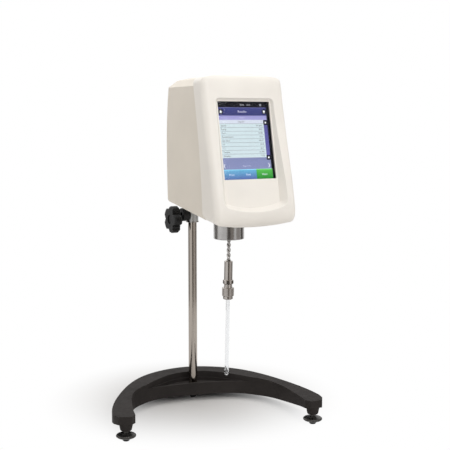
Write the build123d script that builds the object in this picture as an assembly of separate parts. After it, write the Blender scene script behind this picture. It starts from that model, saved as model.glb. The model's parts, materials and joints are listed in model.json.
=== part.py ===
from build123d import *
from math import cos, hypot, pi, radians, sin, tan
import os

# Gel timer on a laboratory stand, in millimetres.
# Origin: axis of the upright rod on the bench plane. +Z up, -Y towards the user, +X to the user's right.
# The instrument head is modelled facing -Y and then swivelled about the upright rod.

# stand
HEAD_SWIVEL = 12.46        # angle of the head about the rod, anticlockwise from above
ROD_R = 6.35               # half-inch upright rod
ROD_FOOT_Z = 13.0          # lower end of the rod, level with the underside of the rear boss
ROD_TOP_Z = 420.0
BASE_TOP_Z = 34.0          # flat top of the arms and rim
BASE_LOW_Z = 8.0           # lower edge of the casting at the back
BASE_WALL = 5.0
TROUGH_FLOOR_Z = 20.9      # the rod comes out of the trough here
NEAR_WALL_TOP_Z = 25.5     # low front wall of the trough
BOSS_LOW_Z = 14.0
FRONT_FOOT_X = 127.4
FRONT_FOOT_Y = -163.6
FOOT_WHEEL_R = 12.9
FOOT_WHEEL_LOW_Z = 5.0
FOOT_WHEEL_H = 3.6
FOOT_PAD_R = 4.5
STUD_R = 3.0               # M6 levelling stud

# clamp
CLAMP_LOW_Z = 262.6
CLAMP_H = 74.0
CLAMP_HALF = 14.0          # half width of the clamp block
SLEEVE_WALL = 1.6
KNOB_Z = 266.7
KNOB_R = 20.0
KNOB_T = 12.0
KNOB_X = -30.6             # middle of the knob
LUG_X = -18.0              # outer face of the lug that the knob's neck bears on
HEAD_ROD_R = 6.35
HEAD_ROD_Z = 320.0

# head shell
HEAD_HALF_W = 60.0
COVER_STEP = 0.8           # the rear cover is this much narrower at each side
WALL = 3.0
CROWN_Z = 469.0            # middle of the arched roof
CROWN_DROP = 7.0
KEEL_Z = 271.5             # middle of the arched underside at the lip
KEEL_RISE = 7.0
UNDERSIDE_SLOPE = 7.8      # degrees, rising to the rear
CORNER_R = 10.0
CREASE_R = 8.0
REAR_Y = -43.0
ROOF_CHAMFER = 9.0

# display
SCREEN_W = 76.2            # 5 inch 3:4 portrait display
SCREEN_H = 101.6
SCREEN_Y = -163.0
SCREEN_Z = 383.1
SCREEN_TILT = 11.7
RECESS_HALF_W = 39.6
RECESS_TOP = 51.6          # from the middle of the screen, along the tilted floor
RECESS_BOTTOM = 88.0
RECESS_TAPER = 38.0

# drive line
AXIS_Y = -113.0
CUP_R = 20.7
CUP_LOW_Z = 249.6
DECK_Z = 300.0             # underside of the chassis floor
DECK_T = 4.0
FIT = 0.05                 # radial clearance of shafts that turn
LEAN = 0.98                # lean of the hanging stirrer as photographed
LINK_TOP_Z = 247.5
CHUCK_TOP_Z = 219.3
COLLAR_TOP_Z = 193.4
COLLAR_LOW_Z = 187.7
NUT_TOP_Z = 182.9
NUT_LOW_Z = 170.9
NOSE_LOW_Z = 166.6
STIRRER_R = 2.75
STIRRER_LOW_Z = 60.3

os.makedirs("parts", exist_ok=True)


def save(name, shape):
    export_step(shape, f"parts/{name}.step")


def cyl(r, z0, z1, x=0.0, y=0.0):
    return Pos(x, y, (z0 + z1) / 2) * Cylinder(r, z1 - z0)


def pipe(r_out, r_in, z0, z1, x=0.0, y=0.0):
    return cyl(r_out, z0, z1, x, y) - cyl(r_in, z0 - 1, z1 + 1, x, y)


def box(x0, x1, y0, y1, z0, z1):
    return Pos((x0 + x1) / 2, (y0 + y1) / 2, (z0 + z1) / 2) * Box(x1 - x0, y1 - y0, z1 - z0)


def rod_y(r, y0, y1, x, z):
    return Pos(x, (y0 + y1) / 2, z) * Rot(90, 0, 0) * Cylinder(r, y1 - y0)


def rod_x(r, x0, x1, y, z):
    return Pos((x0 + x1) / 2, y, z) * Rot(0, 90, 0) * Cylinder(r, x1 - x0)


def turned(points, x=0.0, y=0.0):
    """Solid of revolution about a vertical axis from (radius, height) points."""
    profile = Plane.XZ * make_face(Polyline(*points, close=True))
    return Pos(x, y, 0) * revolve(profile, Axis.Z)


def swivel(shape):
    return Rot(0, 0, HEAD_SWIVEL) * shape


def group(shapes):
    """Several separate solids kept as one piece."""
    total = Part()
    for shape in shapes:
        total += shape
    return total


# stand

def both_sides(points):
    """Mirror a half curve about X = 0 and join the halves from left to right."""
    return [(-x, y) for x, y in reversed(points) if x > 0.01] + points


def shifted(points, distance):
    """Curve points moved sideways, to the left of the curve's direction."""
    moved = []
    for i, (x, y) in enumerate(points):
        (xa, ya), (xb, yb) = points[max(i - 1, 0)], points[min(i + 1, len(points) - 1)]
        run = hypot(xb - xa, yb - ya)
        moved.append((x - (yb - ya) / run * distance, y + (xb - xa) / run * distance))
    return moved


def crescent(inset=0.0):
    """Plan of the base: an arc behind the rod with two arms reaching forward."""
    outer = [(0, 42), (38, 33), (70, 12), (91, -13), (110, -47), (123, -77), (134, -108), (143, -148)]
    inner = [(0, -19.5), (30, -20.6), (52, -25), (72, -34.5), (88, -49), (99, -66), (107, -90),
             (112, -120), (115, -148)]
    tip = [(142.5, -160), (138, -171), (121, -174), (115.5, -166)]
    top = Spline(*shifted(both_sides(outer), -inset))
    low = Spline(*shifted(both_sides(inner), inset))
    if inset:
        tip = []
    right = Polyline(top @ 1, *tip, low @ 1)
    left = Polyline(top @ 0, *[(-x, y) for x, y in tip], low @ 0)
    return make_face([top, low, right, left])


def underside_profile(lift=0.0):
    """Side view of the space kept by the casting: its lower edge climbs towards the tips."""
    low = [(60, BASE_LOW_Z), (-45, BASE_LOW_Z), (-69, 10), (-101, 13.5), (-132, 18), (-180, 24.5)]
    curve = Spline(*[(y, z + lift) for y, z in low[1:]])
    top = Polyline((-180, 24.5 + lift), (-180, 80), (60, 80), (60, BASE_LOW_Z + lift), (-45, BASE_LOW_Z + lift))
    return extrude(Plane.YZ * make_face([curve, top]), 160, both=True)


def trough_region(outset=0.0):
    """Plan of the scooped part of the top, open towards the inner wall."""
    far = [(-104, -78), (-76, -37), (-49, -7), (-24, 10), (0, 15), (24, 10), (49, -7), (76, -37), (104, -78)]
    far = [(x, y + outset) for x, y in far]
    curve = Spline(*far)
    return make_face([curve, Polyline(curve @ 1, (104, -120), (-104, -120), curve @ 0)])


def base_casting():
    body = extrude(crescent(), BASE_TOP_Z)
    body = body & underside_profile()
    # shallow scoop whose floor climbs towards the arms
    floor = Spline((-112, BASE_TOP_Z), (-84, 27.5), (-50, NEAR_WALL_TOP_Z), (0, NEAR_WALL_TOP_Z),
                   (50, NEAR_WALL_TOP_Z), (84, 27.5), (112, BASE_TOP_Z))
    roof = Polyline(floor @ 1, (112, 60), (-112, 60), floor @ 0)
    scoop = Pos(0, 80, 0) * extrude(Plane.XZ * make_face([floor, roof]), 240)
    body = body - (scoop & extrude(trough_region(), 70))
    # deeper trough behind the low front wall
    trough = extrude(trough_region(-3.0), 60) & extrude(crescent(4.0), 60)
    trough = trough & box(-88, 88, -60, 60, TROUGH_FLOOR_Z, 60)
    body = body - trough
    # open underside
    hollow = extrude(crescent(BASE_WALL), BASE_TOP_Z - BASE_WALL)
    deck = extrude(Pos(0, 0, TROUGH_FLOOR_Z - BASE_WALL) * trough_region(BASE_WALL - 3.0), 40)
    ribs = Part()
    for x in (-62, 62):
        ribs += box(x - 2, x + 2, -60, 45, 12, BASE_TOP_Z)
    for side in (-1, 1):
        ribs += Pos(side * 110, -70, 0) * Rot(0, 0, side * 25) * box(-22, 22, -2, 2, 14, BASE_TOP_Z)
    body = body - (hollow - deck - ribs)
    body += cyl(13.0, ROD_FOOT_Z, TROUGH_FLOOR_Z)
    for x in (-FRONT_FOOT_X, FRONT_FOOT_X):
        body += turned([(0, BASE_TOP_Z - 4), (0, BOSS_LOW_Z), (7.0, BOSS_LOW_Z), (7.6, BOSS_LOW_Z + 1.2),
                        (9.2, 23.5), (9.2, BASE_TOP_Z - 4)], x, FRONT_FOOT_Y)
        body -= cyl(STUD_R + FIT, 0, BASE_TOP_Z - 6, x, FRONT_FOOT_Y)
    body -= cyl(ROD_R, 0, 60)
    body -= rod_y(2.0, 5, 60, 0, 17.0)
    return body


def foot_screw(x, y, top):
    """Levelling stud with its knurled thumb wheel."""
    z0, z1 = FOOT_WHEEL_LOW_Z, FOOT_WHEEL_LOW_Z + FOOT_WHEEL_H
    wheel = turned([(0, z0), (FOOT_WHEEL_R - 1.4, z0), (FOOT_WHEEL_R, z0 + 1.2), (FOOT_WHEEL_R, z1 - 1.0),
                    (FOOT_WHEEL_R - 1.2, z1), (5.2, z1 + 0.4), (5.2, z1 + 1.6), (0, z1 + 1.6)], x, y)
    for i in range(20):
        a = 2 * pi * i / 20
        wheel -= cyl(0.9, z0 - 1, z1 + 1, x + (FOOT_WHEEL_R + 0.35) * cos(a), y + (FOOT_WHEEL_R + 0.35) * sin(a))
    stud = turned([(0, 3.4), (STUD_R, 3.4), (STUD_R, top - 0.8), (STUD_R - 0.8, top), (0, top)], x, y)
    return wheel + stud


def foot_pad(x, y):
    pad = turned([(0, 0), (FOOT_PAD_R - 0.8, 0), (FOOT_PAD_R, 0.8), (FOOT_PAD_R + 1.4, 4.2),
                  (FOOT_PAD_R + 1.4, FOOT_WHEEL_LOW_Z), (0, FOOT_WHEEL_LOW_Z)], x, y)
    return pad - cyl(STUD_R, 3.4, 6, x, y)


def upright_rod():
    rod = turned([(0, ROD_FOOT_Z), (ROD_R - 0.6, ROD_FOOT_Z), (ROD_R, ROD_FOOT_Z + 0.6), (ROD_R, ROD_TOP_Z - 1),
                  (ROD_R - 1, ROD_TOP_Z), (0, ROD_TOP_Z)])
    rod -= cyl(STUD_R + FIT, 0, 34)
    return rod - cyl(2.5, ROD_TOP_Z - 14, ROD_TOP_Z + 1)


def rod_cap():
    cap = turned([(0, ROD_TOP_Z), (ROD_R + 1.2, ROD_TOP_Z), (ROD_R + 1.2, ROD_TOP_Z + 3.2),
                  (ROD_R - 0.6, ROD_TOP_Z + 5), (0, ROD_TOP_Z + 5)])
    return cap + cyl(2.5, ROD_TOP_Z - 10, ROD_TOP_Z)


def rod_grub():
    grub = rod_y(2.0, ROD_R, 12.5, 0, 17.0)
    return grub - Pos(0, 12.5, 17.0) * Rot(90, 0, 0) * extrude(RegularPolygon(1.15, 6), 2, both=True)


def build_stand():
    save("base_casting", base_casting())
    save("upright_rod", upright_rod())
    save("rod_cap", rod_cap())
    save("rod_grub_screw", rod_grub())
    for name, x, y in (("rear", 0, 0), ("left", -FRONT_FOOT_X, FRONT_FOOT_Y), ("right", FRONT_FOOT_X, FRONT_FOOT_Y)):
        save(f"foot_screw_{name}", foot_screw(x, y, 25.0))
        save(f"foot_pad_{name}", foot_pad(x, y))


# clamp

def clamp_sleeve():
    """Split bush between rod and clamp block; its flange shows just below the block."""
    z0, z1 = CLAMP_LOW_Z - 1.2, CLAMP_LOW_Z + CLAMP_H + 1.6
    outer = ROD_R + SLEEVE_WALL
    sleeve = pipe(outer, ROD_R + FIT, z0, z1)
    sleeve += pipe(outer + 1.6, ROD_R + FIT, z0, CLAMP_LOW_Z)
    sleeve += pipe(outer + 1.6, ROD_R + FIT, CLAMP_LOW_Z + CLAMP_H, z1)
    return sleeve - box(0, 20, -0.6, 0.6, z0 - 1, z1 + 1)


def clamp_block():
    """Cast block: vertical bore for the sleeve, horizontal bore in a nose for the head's rod."""
    z0, z1 = CLAMP_LOW_Z, CLAMP_LOW_Z + CLAMP_H
    body = box(-CLAMP_HALF, CLAMP_HALF, -13, 13, z0, z1)
    body = fillet(body.edges().filter_by(Axis.Z), 3.0)
    nose = box(-CLAMP_HALF, CLAMP_HALF, -34, 0, HEAD_ROD_Z - 15, HEAD_ROD_Z + 14.6)
    nose = fillet(nose.edges().filter_by(Axis.Y), 3.0)
    body += nose
    lug = rod_x(9.5, LUG_X, -CLAMP_HALF + 1, 0, KNOB_Z + 6.0)
    body += lug & box(-30, 0, -30, 30, z0, z1)
    body -= cyl(ROD_R + SLEEVE_WALL + FIT, z0 - 1, z1 + 1)
    body -= rod_y(HEAD_ROD_R + FIT, -40, -12, 0, HEAD_ROD_Z)
    body -= rod_x(STUD_R + 0.1, -40, 0, 0, KNOB_Z)
    # saw cut and lock screw that grip the head's rod
    body -= box(-0.8, 0.8, -40, -14.5, HEAD_ROD_Z, z1 + 1)
    body -= rod_x(2.1, -3, 30, -24, HEAD_ROD_Z + 10.4)
    body -= rod_x(2.1, -11, -2, -24, HEAD_ROD_Z + 10.4)
    body -= rod_x(3.6, 10, 30, -24, HEAD_ROD_Z + 10.4)
    return body


def clamp_knob():
    """Five-lobed knob with a stepped neck; its axis runs along X."""
    lobe_at = KNOB_R - 7.5
    shape = Circle(lobe_at + 1.0)
    for i in range(5):
        a = radians(90 + 72 * i)
        shape += Pos(lobe_at * cos(a), lobe_at * sin(a)) * Circle(7.5)
    for i in range(5):
        a = radians(90 + 36 + 72 * i)
        shape -= Pos((KNOB_R + 1.8) * cos(a), (KNOB_R + 1.8) * sin(a)) * Circle(7.2)
    star = extrude(shape, KNOB_T)
    star = star & turned([(0, 0), (KNOB_R - 2.2, 0), (KNOB_R, 2.2), (KNOB_R, KNOB_T - 2.2), (KNOB_R - 2.2, KNOB_T),
                          (0, KNOB_T)])
    star -= Pos(0, 0, KNOB_T) * Cylinder(6.5, 2.4)
    neck_z = LUG_X - (KNOB_X + KNOB_T / 2)
    neck = turned([(0, -neck_z), (5.2, -neck_z), (5.6, -5.0), (7.0, -2.0), (9.0, 0.5), (0, 0.5)])
    knob = star + neck
    knob -= cyl(STUD_R, -10, 5)
    return Pos(KNOB_X + KNOB_T / 2, 0, KNOB_Z) * Rot(0, -90, 0) * knob


def knob_stud():
    stud = rod_x(STUD_R, KNOB_X + KNOB_T / 2 - 5, -11.2, 0, KNOB_Z)
    return stud


def pressure_pad():
    """Brass pad between the stud and the split sleeve."""
    pad = rod_x(STUD_R, -11.2, -6.5, 0, KNOB_Z)
    return pad - cyl(ROD_R + SLEEVE_WALL, KNOB_Z - 10, KNOB_Z + 10)


def roll_lock_screw():
    z = HEAD_ROD_Z + 10.4
    screw = rod_x(2.0, -9.0, 10.0, -24, z) + rod_x(3.4, 10.0, 14.0, -24, z)
    return screw - Pos(14, -24, z) * Rot(0, 90, 0) * extrude(RegularPolygon(1.7, 6), 2.2, both=True)


def build_clamp():
    save("clamp_sleeve", swivel(clamp_sleeve()))
    save("clamp_block", swivel(clamp_block()))
    save("clamp_knob", swivel(clamp_knob()))
    save("clamp_stud", swivel(knob_stud()))
    save("pressure_pad", swivel(pressure_pad()))
    save("roll_lock_screw", swivel(roll_lock_screw()))


# head shell

SEAM = [(255, -155), (285.6, -153.5), (370.7, -144.1), (450.6, -128.4), (485, -121.5)]


def seam_curve(shift=0.0):
    """Side view of the joint between front housing and rear cover."""
    return Spline(*[(y + shift, z) for z, y in reversed(SEAM)])


def between(points, z):
    """Y on a side-view line given as (z, y) points."""
    for (za, ya), (zb, yb) in zip(points, points[1:]):
        if za <= z <= zb:
            return ya + (yb - ya) * (z - za) / (zb - za)
    return points[-1][1]


def seam_side(front, shift=0.0):
    curve = seam_curve(shift)
    far = -260 if front else 40
    face = make_face([curve, Polyline(curve @ 1, (far, 255), (far, 485), curve @ 0)])
    return extrude(Plane.YZ * face, 90, both=True)


def roof_prism(t, half_w, chamfered):
    """Front view of roof and sides, run from front to back; t is the inset of the inner skin."""
    w = half_w - t
    crown, side = CROWN_Z - t, CROWN_Z - CROWN_DROP - t
    if chamfered:
        c = ROOF_CHAMFER
        arc = ThreePointArc((-w + c, side - 0.6), (0, crown - 1.2), (w - c, side - 0.6))
        rest = Polyline(arc @ 1, (w, side - 0.6 - c), (w, 220), (-w, 220), (-w, side - 0.6 - c), arc @ 0)
        face = make_face([arc, rest])
    else:
        arc = ThreePointArc((-w, side), (0, crown), (w, side))
        face = make_face([arc, Polyline(arc @ 1, (w, 220), (-w, 220), arc @ 0)])
        tops = [v for v in face.vertices() if v.Z > 300 or v.Y > 300]
        face = fillet(tops, CORNER_R - t)
    return Pos(0, 20, 0) * extrude(Plane.XZ * face, 260)


def keel_prism(t, half_w, radius):
    """Front view of the arched underside, run along the underside's slope."""
    w = half_w - t
    low, side = KEEL_Z + t, KEEL_Z + KEEL_RISE + t
    arc = ThreePointArc((-w, side), (0, low), (w, side))
    face = make_face([arc, Polyline(arc @ 1, (w, 620), (-w, 620), arc @ 0)])
    lows = [v for v in face.vertices() if v.Y < 300]
    face = fillet(lows, radius - t)
    a = radians(UNDERSIDE_SLOPE)
    start = Plane(origin=(0, -183 - 40, -40 * tan(a)), x_dir=(1, 0, 0), z_dir=(0, -1, 0))
    return extrude(start * face, 260, dir=(0, cos(a), sin(a)))


FRONT_FACE = [(255, -170), (271, -178), (273.5, -182), (277, -185.4), (281, -188), (286, -190), (292, -190.4),
              (300, -189.4), (315, -186.4), (330, -182.9), (350, -177.6), (370, -172.1), (388, -167.3), (408, -162.2),
              (428, -157.4), (448, -153.3), (456, -151.4), (461, -149.3), (465, -146.4), (468, -142.4), (470, -137)]


def front_solid(t=0.0):
    """Stack of plan sections whose front edge follows the side view; t is the inset of the inner skin."""
    sections = []
    for z, y in FRONT_FACE:
        w = HEAD_HALF_W - t
        plan = make_face(Polyline((-w, -60), (w, -60), (w, y + t), (-w, y + t), close=True))
        plan = fillet([v for v in plan.vertices() if v.Y < -100], CREASE_R - t)
        sections.append(Pos(0, 0, z) * plan)
    body = loft(sections, ruled=True)
    body = body & roof_prism(t, HEAD_HALF_W, False)
    return body & keel_prism(t, HEAD_HALF_W, CORNER_R)


def rear_solid(t=0.0):
    pts = [(-46.0, 270), (-45.0, 296.4), (-42.6, 375), (-50.0, 453)]
    curve = Spline(*[(y - t, z) for y, z in pts])
    rest = Polyline(curve @ 1, (-60 - t, 463), (-75, 480), (-210, 480), (-210, 270), curve @ 0)
    body = extrude(Plane.YZ * make_face([curve, rest]), 90, both=True)
    body = body & roof_prism(t, HEAD_HALF_W - COVER_STEP, True)
    return body & keel_prism(t, HEAD_HALF_W - COVER_STEP, 5.0)


def screen_plane(depth=0.0):
    """Plane of the recess floor; its x runs along +X and its y up the tilted screen."""
    a = radians(SCREEN_TILT)
    normal = Vector(0, -cos(a), sin(a))
    origin = Vector(0, SCREEN_Y, SCREEN_Z) - normal * depth
    return Plane(origin=origin, x_dir=(1, 0, 0), z_dir=normal)


def recess(grow=0.0, depth=0.0):
    w = RECESS_HALF_W + grow
    top, low = RECESS_TOP + grow, -RECESS_BOTTOM - grow
    arc = ThreePointArc((-w, low + 6.5), (0, low), (w, low + 6.5))
    face = make_face([arc, Polyline(arc @ 1, (w, top), (-w, top), arc @ 0)])
    face = fillet(face.vertices(), 3.0)
    return extrude(screen_plane(depth) * face, 24, taper=-RECESS_TAPER)


def front_housing():
    body = front_solid() & seam_side(True)
    cavity = front_solid(WALL) - recess(3.0, 2.4)
    body = body - cavity
    # bosses for the long standoffs
    for sx in (-1, 1):
        for z in STANDOFF_Z:
            y1 = between(SEAM, z) - 1.0
            boss = rod_y(3.6, between(FRONT_FACE, z) + 1.5, y1, sx * STANDOFF_X, z)
            body += boss - rod_y(1.6, y1 - 10, y1 + 1, sx * STANDOFF_X, z)
    window = extrude(screen_plane(5.0) * Rectangle(SCREEN_W, SCREEN_H), 10)
    return body - recess() - window


STANDOFF_X = 50.5
STANDOFF_Z = (322.0, 436.0)
BACK_PLATE_Y = -56.0       # rear face of the chassis back plate
BACK_PLATE_T = 2.0
INLET_POS = (-30.0, 404.0)
SWITCH_POS = (-30.0, 372.0)
USB_POS = (28.0, 412.0)
NET_POS = (28.0, 386.0)


def rear_cover():
    body = rear_solid() & seam_side(False)
    body = body - (rear_solid(WALL) & seam_side(False, -5))
    # screw towers
    for sx in (-1, 1):
        for z in STANDOFF_Z:
            body += rod_y(4.6, BACK_PLATE_Y, REAR_Y - 4, sx * STANDOFF_X, z)
            body -= rod_y(2.1, -80, 0, sx * STANDOFF_X, z)
            body -= rod_y(3.9, -50.5, 0, sx * STANDOFF_X, z)
    body -= rod_y(HEAD_ROD_R + 3.0, -70, 0, 0, HEAD_ROD_Z)
    body -= cyl(CUP_R + 0.6, 240, 300, 0, AXIS_Y)
    # cooling slots, and openings for the sockets and the switch
    for i in range(7):
        z = 434.0 - 5.0 * i
        body -= box(-9, 9, -70, 0, z - 1.2, z + 1.2)
    body -= hole_y(INLET_POS, 14.2, 14.2)
    body -= hole_y(SWITCH_POS, 21.2, 15.2)
    body -= hole_y(USB_POS, 15.0, 13.4)
    body -= hole_y(NET_POS, 16.2, 13.4)
    return body


def hole_y(centre, w, h):
    x, z = centre
    return box(x - w / 2, x + w / 2, -70, 0, z - h / 2, z + h / 2)


def build_shell():
    save("front_housing", swivel(front_housing()))
    save("rear_cover", swivel(rear_cover()))


# display

def display_plate(w, h, front_depth, thickness, radius=0.0):
    """Flat plate parallel to the screen; its front face lies front_depth behind the recess floor."""
    face = RectangleRounded(w, h, radius) if radius else Rectangle(w, h)
    return extrude(screen_plane(front_depth + thickness) * face, thickness)


def display_bracket():
    """Frame that presses glass and panel against the housing."""
    plate = display_plate(86, 112, 10.6, 1.6, 3)
    plate -= display_plate(60, 80, 10.0, 3.0, 4)
    for sx in (-1, 1):
        for sy in (-1, 1):
            spot = screen_plane(10.6) * Pos(sx * 40.6, sy * 53.4, 0)
            plate += spot * Pos(0, 0, 4.1) * Cylinder(2.0, 8.2)
    return plate


def display_board():
    board = display_plate(74, 96, 12.2, 1.6)
    chips = Part()
    for x, y, w, h, t in ((-14, 12, 18, 18, 1.6), (14, 14, 14, 10, 1.2), (8, -16, 22, 8, 2.2), (-18, -22, 10, 14, 1.4),
                          (20, -34, 12, 9, 4.0)):
        chips += extrude(screen_plane(13.8 + t) * Pos(x, y) * Rectangle(w, h), t)
    return board + chips


def build_display():
    save("display_glass", swivel(display_plate(78.4, 104.0, 2.4, 1.8, 1.5)))
    save("display_panel", swivel(display_plate(77.4, 103.0, 4.2, 6.4)))
    save("display_bracket", swivel(display_bracket()))
    save("display_board", swivel(display_board()))


# chassis and electronics

def chassis():
    """Bent frame: floor, back and two side cheeks."""
    y0, y1 = -138.0, BACK_PLATE_Y
    body = box(-46, 46, y0, y1, DECK_Z, DECK_Z + DECK_T)
    body += box(-55.4, 55.4, y1 - BACK_PLATE_T, y1, DECK_Z, 446)
    for sx in (-1, 1):
        cheek = box(min(sx * 44, sx * 46), max(sx * 44, sx * 46), -132, y1, DECK_Z, 440)
        cheek -= box(-60, 60, -124, -66, 318, 332)
        cheek -= box(-60, 60, -200, -126, 400, 450)
        body += cheek
        for z in STANDOFF_Z:
            body -= rod_y(2.1, -60, -50, sx * STANDOFF_X, z)
    body -= cyl(8.0, DECK_Z - 1, DECK_Z + DECK_T + 1, 0, AXIS_Y)
    body -= rod_y(4.0, y1 - 5, y1 + 1, 0, HEAD_ROD_Z)
    for sx in (-1, 1):
        for sy in (-1, 1):
            body -= cyl(1.6, DECK_Z - 1, DECK_Z + DECK_T + 1, sx * PILLAR, AXIS_Y + sy * 15.2)
    for x, z, w, h in ((INLET_POS[0], 388, 26, 52), (USB_POS[0], 399, 24, 46)):
        body -= box(x - w / 2, x + w / 2, y1 - 5, y1 + 1, z - h / 2, z + h / 2)
    return body


PILLAR = 24.0
MOTOR_PLATE_Z = 388.0
BEARING_PLATE_Z = 344.0


def standoffs():
    """Four hexagon standoffs from the back plate to the front housing."""
    bars = []
    for sx in (-1, 1):
        for z in STANDOFF_Z:
            y0, y1 = between(SEAM, z) - 1.0, BACK_PLATE_Y - BACK_PLATE_T
            bar = Pos(sx * STANDOFF_X, y1, z) * Rot(90, 0, 0) * extrude(RegularPolygon(3.9, 6), y1 - y0)
            bars.append(bar - rod_y(1.6, y1 - 12, y1 + 1, sx * STANDOFF_X, z))
    return group(bars)


def cover_screws():
    parts = []
    for sx in (-1, 1):
        for z in STANDOFF_Z:
            x = sx * STANDOFF_X
            screw = rod_y(1.6, BACK_PLATE_Y - BACK_PLATE_T - 9, -50.5, x, z) + rod_y(3.2, -50.5, -47.6, x, z)
            parts.append(screw - Pos(x, -47.6, z) * Rot(90, 0, 0) * extrude(RegularPolygon(1.5, 6), 1.8, both=True))
    return group(parts)


def head_rod():
    """Horizontal rod with the flange that bolts it to the chassis."""
    back = BACK_PLATE_Y - BACK_PLATE_T
    body = rod_y(HEAD_ROD_R, BACK_PLATE_Y, -14.5, 0, HEAD_ROD_Z)
    body += rod_y(9.0, BACK_PLATE_Y, BACK_PLATE_Y + 3.0, 0, HEAD_ROD_Z)
    return body + rod_y(4.0, back - 9.5, BACK_PLATE_Y, 0, HEAD_ROD_Z)


def rod_nut():
    """Flange nut inside the chassis that holds the head's rod."""
    back = BACK_PLATE_Y - BACK_PLATE_T
    nut = Pos(0, back, HEAD_ROD_Z) * Rot(90, 0, 0) * extrude(RegularPolygon(8.0, 6), 8)
    nut += rod_y(9.5, back - 1.5, back, 0, HEAD_ROD_Z)
    return nut - rod_y(4.0, back - 20, back + 1, 0, HEAD_ROD_Z)


def side_board(sx, y0, y1, z0, z1, blocks):
    """Circuit board on four spacers inside a cheek; blocks are (y, z, w, h, height)."""
    x_face = sx * 44
    board = box(min(x_face - sx * 3, x_face - sx * 4.6), max(x_face - sx * 3, x_face - sx * 4.6), y0, y1, z0, z1)
    for y in (y0 + 5, y1 - 5):
        for z in (z0 + 5, z1 - 5):
            a, b = sorted((x_face, x_face - sx * 3))
            board += rod_x(2.6, a, b, y, z)
    top = x_face - sx * 4.6
    for y, z, w, h, t in blocks:
        a, b = sorted((top, top - sx * t))
        board += box(a, b, y - w / 2, y + w / 2, z - h / 2, z + h / 2)
    return board


def main_board():
    blocks = [(-95, 400, 20, 20, 1.8), (-76, 412, 12, 16, 1.4), (-116, 384, 10, 14, 1.4), (-80, 368, 18, 9, 6.0),
              (-104, 356, 24, 8, 5.0)]
    board = side_board(1, -128, -62, 340, 430, blocks)
    for z in (352, 362):
        board += rod_x(4.0, 30.4, 39.4, -72, z)
    return board


def power_board():
    blocks = [(-84, 396, 24, 22, 9.0), (-110, 372, 12, 30, 9.0), (-76, 362, 10, 20, 5.0)]
    board = side_board(-1, -126, -64, 344, 424, blocks)
    for z in (404, 416):
        board += rod_x(4.5, -39.4, -26.0, -110, z)
    return board


def socket_y(centre, w, h, y_out, y_in):
    x, z = centre
    return box(x - w / 2, x + w / 2, y_in, y_out, z - h / 2, z + h / 2)


def power_inlet():
    """Round low-voltage inlet in a square flange."""
    x, z = INLET_POS
    body = socket_y(INLET_POS, 14.0, 14.0, -43.8, -62)
    body -= rod_y(5.2, -57, -40, x, z)
    return body + rod_y(1.2, -58, -46.0, x, z)


def switch_frame():
    body = socket_y(SWITCH_POS, 21.0, 15.0, -42.4, -63.5)
    body -= socket_y(SWITCH_POS, 17.0, 11.0, -40, -57)
    return body


def switch_rocker():
    """Rocker that tips about a horizontal axis."""
    x, z = SWITCH_POS
    half = 7.6
    face = make_face(Polyline((-6.5, -4.2), (6.5, -4.2), (half, -2.0), (half, 3.4), (0, 1.2), (-half, 1.2),
                              (-half, -2.0), close=True))
    body = extrude(Plane(origin=(x, -49.5, z), x_dir=(1, 0, 0), z_dir=(0, 0, 1)) * face, 5.2, both=True)
    return body


def data_port(centre, w, h, hole_w, hole_h, y_out):
    body = socket_y(centre, w, h, y_out, -64)
    return body - socket_y(centre, hole_w, hole_h, y_out + 1, -56)


def usb_ports():
    x, z = USB_POS
    body = socket_y(USB_POS, 14.8, 13.2, -43.6, -64)
    for dz in (-3.2, 3.2):
        body -= socket_y((x, z + dz), 12.0, 4.4, -40, -56)
        body += socket_y((x, z + dz - 0.6), 11.0, 1.6, -45.5, -57)
    return body


def net_port():
    x, z = NET_POS
    body = data_port(NET_POS, 16.0, 13.2, 11.8, 8.4, -43.4)
    return body - socket_y((x, z + 5.0), 5.0, 2.4, -40, -55)


def build_electronics():
    save("chassis", swivel(chassis()))
    save("frame_standoffs", swivel(standoffs()))
    save("cover_screws", swivel(cover_screws()))
    save("head_rod", swivel(head_rod()))
    save("head_rod_nut", swivel(rod_nut()))
    save("main_board", swivel(main_board()))
    save("power_board", swivel(power_board()))
    save("power_inlet", swivel(power_inlet()))
    save("switch_frame", swivel(switch_frame()))
    save("switch_rocker", swivel(switch_rocker()))
    save("usb_ports", swivel(usb_ports()))
    save("network_port", swivel(net_port()))


# drive line

def axis_tube(r_out, r_in, z0, z1):
    return pipe(r_out, r_in, z0, z1, 0, AXIS_Y)


def axis_turned(points):
    return turned(points, 0, AXIS_Y)


def pillars():
    posts = []
    for sx in (-1, 1):
        for sy in (-1, 1):
            x, y = sx * PILLAR, AXIS_Y + sy * 15.2
            post = cyl(3.0, DECK_Z + DECK_T, MOTOR_PLATE_Z, x, y)
            post += cyl(1.6, DECK_Z, DECK_Z + DECK_T, x, y)
            posts.append(post)
    return group(posts)


def plate_on_pillars(z0, z1, hole_r, through):
    plate = box(-29, 29, AXIS_Y - 21, AXIS_Y + 21, z0, z1)
    plate -= cyl(hole_r, z0 - 1, z1 + 1, 0, AXIS_Y)
    if through:
        for sx in (-1, 1):
            for sy in (-1, 1):
                plate -= cyl(3.0, z0 - 1, z1 + 1, sx * PILLAR, AXIS_Y + sy * 15.2)
    return plate


def motor():
    z = MOTOR_PLATE_Z + 4
    body = box(-21, 21, AXIS_Y - 21, AXIS_Y + 21, z, z + 34)
    body = chamfer(body.edges().filter_by(Axis.Z), 4.0)
    body -= box(-30, 30, AXIS_Y - 30, AXIS_Y + 30, z + 8, z + 26) - axis_tube(25.0, 0.01, z + 8, z + 26)
    body += axis_tube(11.0, 0.01, MOTOR_PLATE_Z, z)
    body += box(-8, 8, AXIS_Y - 25, AXIS_Y - 20, z + 1, z + 8)
    return body - cyl(2.5 + FIT, MOTOR_PLATE_Z - 1, z + 22, 0, AXIS_Y)


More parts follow.
